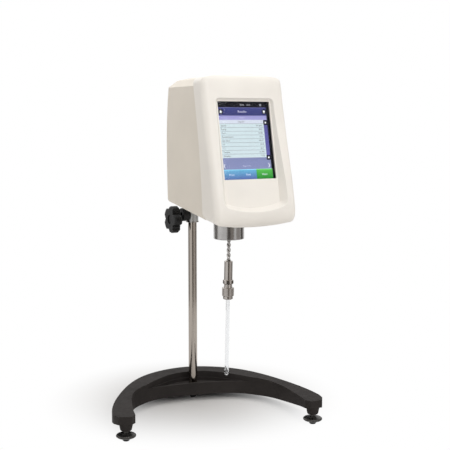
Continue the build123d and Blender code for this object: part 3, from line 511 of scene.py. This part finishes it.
def display_picture():
    """A plain table of readings between a title bar and three soft keys."""
    p = Picture()
    white, night = linear(246, 248, 252), linear(20, 20, 34)
    left, right = -37.4, 34.4
    p.bar(-38.1, 38.1, -50.8, 50.8, linear(14, 14, 20), 0)
    # title bar and heading strip
    p.bar(left, right, 32.9, 43.2, linear(64, 68, 128), 1, linear(52, 56, 110))
    p.bar(left, right, 43.0, 43.4, linear(132, 134, 196), 2)
    p.bar(left, right, 27.2, 32.9, linear(150, 148, 204), 1, linear(166, 164, 212))
    p.words("08:42", -4.0, 46.9, 2.1, linear(190, 192, 200), 2)
    p.words("12.01", 5.6, 46.9, 2.1, linear(190, 192, 200), 2)
    p.disc(26.5, 46.9, 1.5, linear(150, 152, 160), 2)
    p.words("Results", -1.5, 38.1, 3.2, linear(214, 216, 240), 2, "CENTER")
    p.words("Run 1", -1.5, 30.0, 1.9, linear(226, 226, 244), 2, "CENTER")
    for u in (-32.6, 31.2):
        p.disc(u, 38.1, 3.5, night, 2)
    p.add([(-34.4, 37.6), (-30.8, 37.6), (-32.6, 40.0)], white, 3)
    p.bar(-33.8, -31.4, 36.2, 37.7, white, 3)
    p.disc(31.2, 38.4, 1.5, white, 3)
    p.bar(30.6, 31.8, 35.9, 37.2, white, 3)
    # table
    top, foot, edge = 27.2, -22.2, 28.9
    step = (top - foot) / 10
    p.bar(left, edge, top - step, top, linear(210, 217, 230), 1)
    p.bar(left, edge, foot, top - step, linear(206, 222, 227), 1)
    p.words("Trial 01", -4.5, top - step / 2, 2.3, linear(34, 38, 60), 2, "CENTER")
    for i, (label, value) in enumerate(ROWS):
        v = top - step * (i + 1)
        p.bar(left + 0.6, edge - 0.6, v - 0.16, v + 0.16, linear(104, 120, 132), 2)
        p.words(label, left + 3.0, v - step / 2, 2.2, linear(34, 40, 54), 2)
        p.words(value, edge - 2.6, v - step / 2, 2.2, linear(40, 48, 78), 2, "RIGHT")
    # scroll column
    p.bar(edge, right, foot, top, linear(86, 84, 150), 1, linear(96, 94, 164))
    for v in (23.6, -22.4):
        p.tile(31.9, v, 6.6, 6.4, 1.2, night, 3)
        p.disc(31.9, v, 1.3, white, 4, 12)
    # page turner
    p.bar(left, right, -37.3, foot, linear(130, 137, 178), 1, linear(136, 144, 186))
    p.words("Page 1 of 1", -1.5, -33.0, 1.9, linear(214, 218, 242), 2, "CENTER")
    for side in (-1, 1):
        u = -1.5 + side * 32.4
        tip, inner, outer = u + side * 1.8, u + side * 0.9, u - side * 0.9
        p.add([(u, -35.4), (tip, -32.6), (inner, -32.6), (outer, -35.4)][::side], white, 2)
        p.add([(tip, -32.6), (u, -29.8), (outer, -29.8), (inner, -32.6)][::side], white, 2)
    # soft keys
    for u0, u1, word, light, deep in ((left, -13.0, "Print", (112, 182, 218), (84, 110, 172)),
                                      (-13.0, 11.2, "Save", (104, 180, 216), (88, 104, 172)),
                                      (11.2, right + 1.0, "Next", (92, 190, 84), (34, 132, 44))):
        p.bar(u0, u1, -50.2, -37.3, linear(*light), 1, linear(*deep))
        p.bar(u0, u1, -38.1, -37.3, linear(*(min(255, c + 50) for c in light)), 2)
        p.words(word, (u0 + u1) / 2, -44.2, 2.7, linear(232, 240, 250), 2, "CENTER")
    for u in (-13.0, 11.2):
        p.bar(u - 0.12, u + 0.12, -50.2, -37.3, linear(60, 110, 170), 3)
    p.finish("display_picture")


def rounded_plate(half_w, half_h, radius, rims):
    """Plate parallel to the display: one outline at each (depth, inset), closed at both ends."""
    bm = bmesh.new()
    rings = []
    for depth, inset in rims:
        outline = rounded_corners(half_w, half_h, radius, 5, inset)
        rings.append([bm.verts.new(on_screen(u, v, depth)) for u, v in outline])
    join_rings(bm, rings)
    bm.faces.new(rings[0][::-1])
    bm.faces.new(rings[-1])
    bmesh.ops.recalc_face_normals(bm, faces=bm.faces)
    return bm


def touch_glass():
    """Cover glass with pencil-ground edges."""
    bm = rounded_plate(39.2, 52.0, 1.5, ((2.42, 0.35), (2.7, 0.0), (3.7, 0.0), (3.95, 0.25)))
    glass = add_piece("touch_glass", as_mesh(bm, "touch_glass"), "head", "screen_glass")
    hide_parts("display_glass")


class Plan:
    """A geometry node tree with named inputs, which ends in realised instances and one material."""

    def __init__(self, name, sizes):
        self.tree = bpy.data.node_groups.new(name, "GeometryNodeTree")
        self.tree.interface.new_socket("Geometry", in_out="OUTPUT", socket_type="NodeSocketGeometry")
        self.sockets = {}
        for label, value in sizes.items():
            kind = "NodeSocketInt" if isinstance(value, int) else "NodeSocketFloat"
            socket = self.tree.interface.new_socket(label, in_out="INPUT", socket_type=kind)
            self.sockets[label] = socket.identifier
        self.sizes = sizes
        self.given = self.tree.nodes.new("NodeGroupInput")

    def node(self, kind, settings, sockets):
        node = self.tree.nodes.new(kind)
        for name, value in settings.items():
            setattr(node, name, value)
        for name, value in sockets.items():
            if isinstance(value, bpy.types.NodeSocket):
                self.tree.links.new(value, node.inputs[name])
            elif isinstance(value, str):
                self.tree.links.new(self.given.outputs[value], node.inputs[name])
            else:
                node.inputs[name].default_value = value
        return node.outputs[0]

    def winding(self, steps, radius, height, sides, thickness):
        """A round or square section wound about a vertical axis through the input named Turns."""
        shape = {"Resolution": steps, "Rotations": "Turns", "Height": height, "Start Radius": radius,
                 "End Radius": radius}
        path = self.node("GeometryNodeCurveSpiral", {}, shape)
        section = self.node("GeometryNodeCurvePrimitiveCircle", {}, {"Resolution": sides, "Radius": thickness})
        wound = {"Curve": path, "Profile Curve": section, "Fill Caps": True}
        return self.node("GeometryNodeCurveToMesh", {}, wound)

    def close(self, geometry, finish):
        whole = self.node("GeometryNodeRealizeInstances", {}, {"Geometry": geometry})
        smooth = self.node("GeometryNodeSetShadeSmooth", {}, {"Geometry": whole})
        painted = self.node("GeometryNodeSetMaterial", {}, {"Geometry": smooth, "Material": finish})
        out = self.tree.nodes.new("NodeGroupOutput")
        self.tree.links.new(painted, out.inputs["Geometry"])

    def mesh(self, name, place=None):
        """Run the tree with its sizes and return a plain mesh, set at its place."""
        maker = add_object(name, bpy.data.meshes.new(name))
        modifier = maker.modifiers.new("plan", "NODES")
        modifier.node_group = self.tree
        for label, identifier in self.sockets.items():
            modifier[identifier] = self.sizes[label]
        mesh = evaluated_mesh(maker)
        if place:
            mesh.transform(place)
        mesh.name = name
        return mesh


def thread_plan(name, radius, pitch, turns, finish):
    """V-thread ridge wound about a vertical axis, as wide at its root as 0.84 of the pitch."""
    plan = Plan(name, {"Radius": radius * MM, "Pitch height": pitch * turns * MM, "Turns": float(turns),
                       "Ridge": pitch * 0.42 * MM})
    plan.close(plan.winding(24, "Radius", "Pitch height", 4, "Ridge"), finish)
    return plan


def twist_plan(finish):
    """Two strands laid round each other, as the link between coupling and chuck."""
    length = LEAN_FROM_Z - SLEEVE_TOP_Z + 2 * LINK_SUNK
    plan = Plan("twisted_link", {"Offset": 1.32 * MM, "Length": length * MM, "Turns": length / TWIST_PITCH,
                                 "Strand": 1.5 * MM, "Strands": 2})
    strand = plan.winding(40, "Offset", "Length", 18, "Strand")
    spots = plan.node("GeometryNodeMeshLine", {}, {"Count": "Strands", "Offset": (0, 0, 0)})
    index = plan.node("GeometryNodeInputIndex", {}, {})
    angle = plan.node("ShaderNodeMath", {"operation": "MULTIPLY"}, {0: index, 1: pi})
    turn = plan.node("ShaderNodeCombineXYZ", {}, {"Z": angle})
    pair = {"Points": spots, "Instance": strand, "Rotation": turn}
    plan.close(plan.node("GeometryNodeInstanceOnPoints", {}, pair), finish)
    return plan


def contact_plan(name, count, pitch, size, finish):
    """A row of flat contact springs along X."""
    plan = Plan(name, {"Count": count, "Pitch": pitch * MM, "Width": size[0] * MM, "Reach": size[1] * MM,
                       "Thickness": size[2] * MM})
    step = plan.node("ShaderNodeCombineXYZ", {}, {"X": "Pitch"})
    shape = plan.node("ShaderNodeCombineXYZ", {}, {"X": "Width", "Y": "Reach", "Z": "Thickness"})
    row = plan.node("GeometryNodeMeshLine", {}, {"Count": "Count", "Offset": step})
    blade = plan.node("GeometryNodeMeshCube", {}, {"Size": shape})
    plan.close(plan.node("GeometryNodeInstanceOnPoints", {}, {"Points": row, "Instance": blade}), finish)
    return plan


def twisted_link():
    mesh = twist_plan(FINISHES["steel"]).mesh("twisted_link", drive_frame(SLEEVE_TOP_Z - LINK_SUNK))
    link = add_piece("twisted_link", mesh, "spindle", "steel")
    bm = bmesh.new()
    bmesh.ops.create_cone(bm, cap_ends=True, segments=32, radius1=2.5 * MM, radius2=2.6 * MM, depth=8.6 * MM,
                          matrix=drive_frame(0) @ Matrix.Translation((0, 0, 251.2 * MM)))
    stub = as_mesh(bm, "link_stub")
    smooth_by_angle(stub, 40)
    add_piece("link_stub", stub, "spindle", "steel")
    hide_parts("link_shaft")


def threads():
    neck = thread_plan("chuck_neck_thread", 5.35, 0.9, 5, FINISHES["chuck_steel"])
    wound = neck.mesh("chuck_neck_thread", drive_frame(NECK_THREAD_Z))
    add_piece("chuck_neck_thread", wound, "spindle", "chuck_steel")
    for name, x, y in FEET:
        label = f"{name}_stud_thread"
        place = Matrix.Translation(Vector((x, y, STUD_THREAD_Z)) * MM)
        wound = thread_plan(label, 2.72, 0.8, 3, FINISHES["foot_steel"]).mesh(label, place)
        add_piece(label, wound, f"{name}_foot", "foot_steel")


def socket_contacts():
    gold = ground_metal("gold_plated_contact", (0.80, 0.62, 0.30, 1), 0.2, EVEN, 0.05)
    turn = Matrix.Rotation(HEAD_SWIVEL, 4, "Z")
    rows = (("network_contacts", 8, 1.1, (0.5, 8.0, 0.35), 383.2),
            ("upper_usb_contacts", 4, 2.2, (1.1, 8.0, 0.25), 413.5),
            ("lower_usb_contacts", 4, 2.2, (1.1, 8.0, 0.25), 407.1))
    for name, count, pitch, size, z in rows:
        first = Vector((PORT_X - pitch * (count - 1) / 2, CONTACTS_Y, z))
        place = turn @ Matrix.Translation(first * MM)
        add_piece(name, contact_plan(name, count, pitch, size, gold).mesh(name, place), "head", "brass", gold)


def seen_directly(recipe):
    """1 for what the camera sees, straight, in metal or through glass, and 0 for light on a surface."""
    straight, mirrored, through = (recipe.node("ShaderNodeLightPath", {}, {}, f"Is {kind} Ray")
                                   for kind in ("Camera", "Glossy", "Transmission"))
    return straight + mirrored + through


def floor():
    """Floor left grey near the object, a painted shade round its foot on top of its real shadow, glowing out to
    plain white further off.
    """
    bm = bmesh.new()
    bmesh.ops.create_grid(bm, x_segments=4, y_segments=4, size=8.0)
    mesh = as_mesh(bm, "floor")
    ground = add_object("floor", mesh)
    f = Finish("pale_floor", Roughness=0.85, Specular_IOR_Level=0.2)
    # grey floor colour: near the object, where the floor does not glow, it shows as painted shade
    f.colour(f.shade(f.noise(400), (0.62, 0.605, 0.59, 1), (0.65, 0.635, 0.62, 1)))
    here = f.node("ShaderNodeTexCoord", {}, {}, "Object")
    far = f.node("ShaderNodeVectorMath", {"operation": "LENGTH"}, {0: here}, "Value")
    # 0 within 3 cm of the middle, leaving the grey floor as painted shade; 1 beyond 23 cm, plain white
    white_beyond_painted_shade = f.node("ShaderNodeMapRange", {"interpolation_type": "SMOOTHSTEP"},
                  {"Value": far, "From Min": 0.03, "From Max": 0.23, "To Min": 0.0, "To Max": 1.0})
    glow = f.node("ShaderNodeEmission", {}, {"Color": (1, 1, 1, 1), "Strength": 1.0})
    surface = f.node("ShaderNodeMixShader", {}, {0: seen_directly(f) * white_beyond_painted_shade, 1: Wire(f, f.shader.outputs[0]),
                                                 2: glow})
    out = next(n for n in f.tree.nodes if n.type == "OUTPUT_MATERIAL")
    f.feed(out.inputs["Surface"], surface)
    mesh.materials.append(f.material)


def daylight():
    world = bpy.data.worlds.new("studio")
    bpy.context.scene.world = world
    world.use_nodes = True
    w = Recipe(world.node_tree)
    w.tree.nodes.clear()
    backdrop = w.node("ShaderNodeBackground", {}, {"Color": (1, 1, 1, 1), "Strength": 1.0})
    ambient = w.node("ShaderNodeBackground", {}, {"Color": (1.0, 0.99, 0.98, 1), "Strength": 0.45})
    mixed = w.node("ShaderNodeMixShader", {}, {0: seen_directly(w), 1: ambient, 2: backdrop})
    w.node("ShaderNodeOutputWorld", {}, {"Surface": mixed})


def softbox(name, place, aim, size, power):
    lamp = bpy.data.lights.new(name, "AREA")
    lamp.shape, lamp.size, lamp.size_y, lamp.energy = "RECTANGLE", size, size, power
    box = add_object(name, lamp)
    box.location = place
    box.rotation_euler = (Vector(aim) - Vector(place)).to_track_quat("-Z", "Y").to_euler()


CARD_HEIGHT = 0.52


def grey_card(name, bearing, distance, width, tone):
    """Card stood on the floor round the set and seen only in metal and glass, to draw their edges."""
    bm = bmesh.new()
    bmesh.ops.create_grid(bm, x_segments=1, y_segments=1, size=0.5)
    turn = radians(bearing)
    stand = Matrix.Translation((sin(turn) * distance, -cos(turn) * distance - 0.05, CARD_HEIGHT / 2 + MM))
    upright = Matrix.Rotation(turn, 4, "Z") @ Matrix.Rotation(pi / 2, 4, "X")
    mesh = as_mesh(bm, name, stand @ upright @ Matrix.Diagonal((width, CARD_HEIGHT, 1, 1)))
    card = add_object(name, mesh)
    f = Finish(name, Roughness=1.0, Specular_IOR_Level=0.0, Base_Color=(0, 0, 0, 1), Emission_Strength=1.0)
    cloudy = f.shade(f.spread(f.noise(300), 0, 1), tint(tone, 0.9), tint(tone, 1.1))
    f.feed(f.shader.inputs["Emission Color"], cloudy)
    mesh.materials.append(f.material)
    card.visible_camera = card.visible_diffuse = card.visible_shadow = False


def grey_cards():
    grey_card("wide_front_card", -1, 0.64, 0.58, (0.36, 0.33, 0.30, 1))
    grey_card("narrow_front_card", -11, 0.60, 0.20, (0.13, 0.12, 0.11, 1))
    grey_card("right_card", 92, 0.70, 0.36, (0.12, 0.11, 0.10, 1))
    grey_card("left_card", -125, 0.70, 0.50, (0.26, 0.25, 0.24, 1))
    grey_card("near_right_card", 55, 0.66, 0.40, (0.50, 0.47, 0.45, 1))


def studio_lamps():
    softbox("front_softbox", (0.55, -1.5, 1.0), (0, -0.1, 0.25), 1.1, 11.4)
    softbox("left_softbox", (-1.55, -0.15, 0.7), (0, -0.1, 0.3), 1.1, 4.7)
    softbox("overhead_softbox", (0.1, 0.15, 1.7), (0, -0.1, 0.1), 0.8, 10.5)
    softbox("rear_softbox", (-0.9, 1.1, 1.0), (0, 0, 0.25), 0.9, 3)


def camera():
    """The photograph's own view: azimuth -15.43 degrees, elevation 6.48 degrees, 1.356 m away."""
    lens = bpy.data.cameras.new("camera")
    lens.sensor_fit, lens.sensor_width, lens.lens = "HORIZONTAL", 36.0, 73.63
    lens.clip_end = 50
    view = add_object("camera", lens)
    view.location = (-0.30913, -1.29878, 0.40824)
    aim = Vector((0.04934, 0.0, 0.2552))
    view.rotation_euler = (aim - view.location).to_track_quat("-Z", "Y").to_euler()
    bpy.context.scene.camera = view


camera()
dress_cad_nodes()
softened("front_housing", "housing_skin", "head", "housing", 0.8)
softened("rear_cover", "cover_skin", "head", "cover", 0.6)
softened("base_casting", "casting_skin", "stand", "black_casting", 1.0)
clamp_body()
clamp_boss()
clamp_knob()
touch_glass()
display_picture()
twisted_link()
threads()
socket_contacts()
floor()
daylight()
studio_lamps()
grey_cards()
bpy.context.scene.view_settings.view_transform = "Standard"
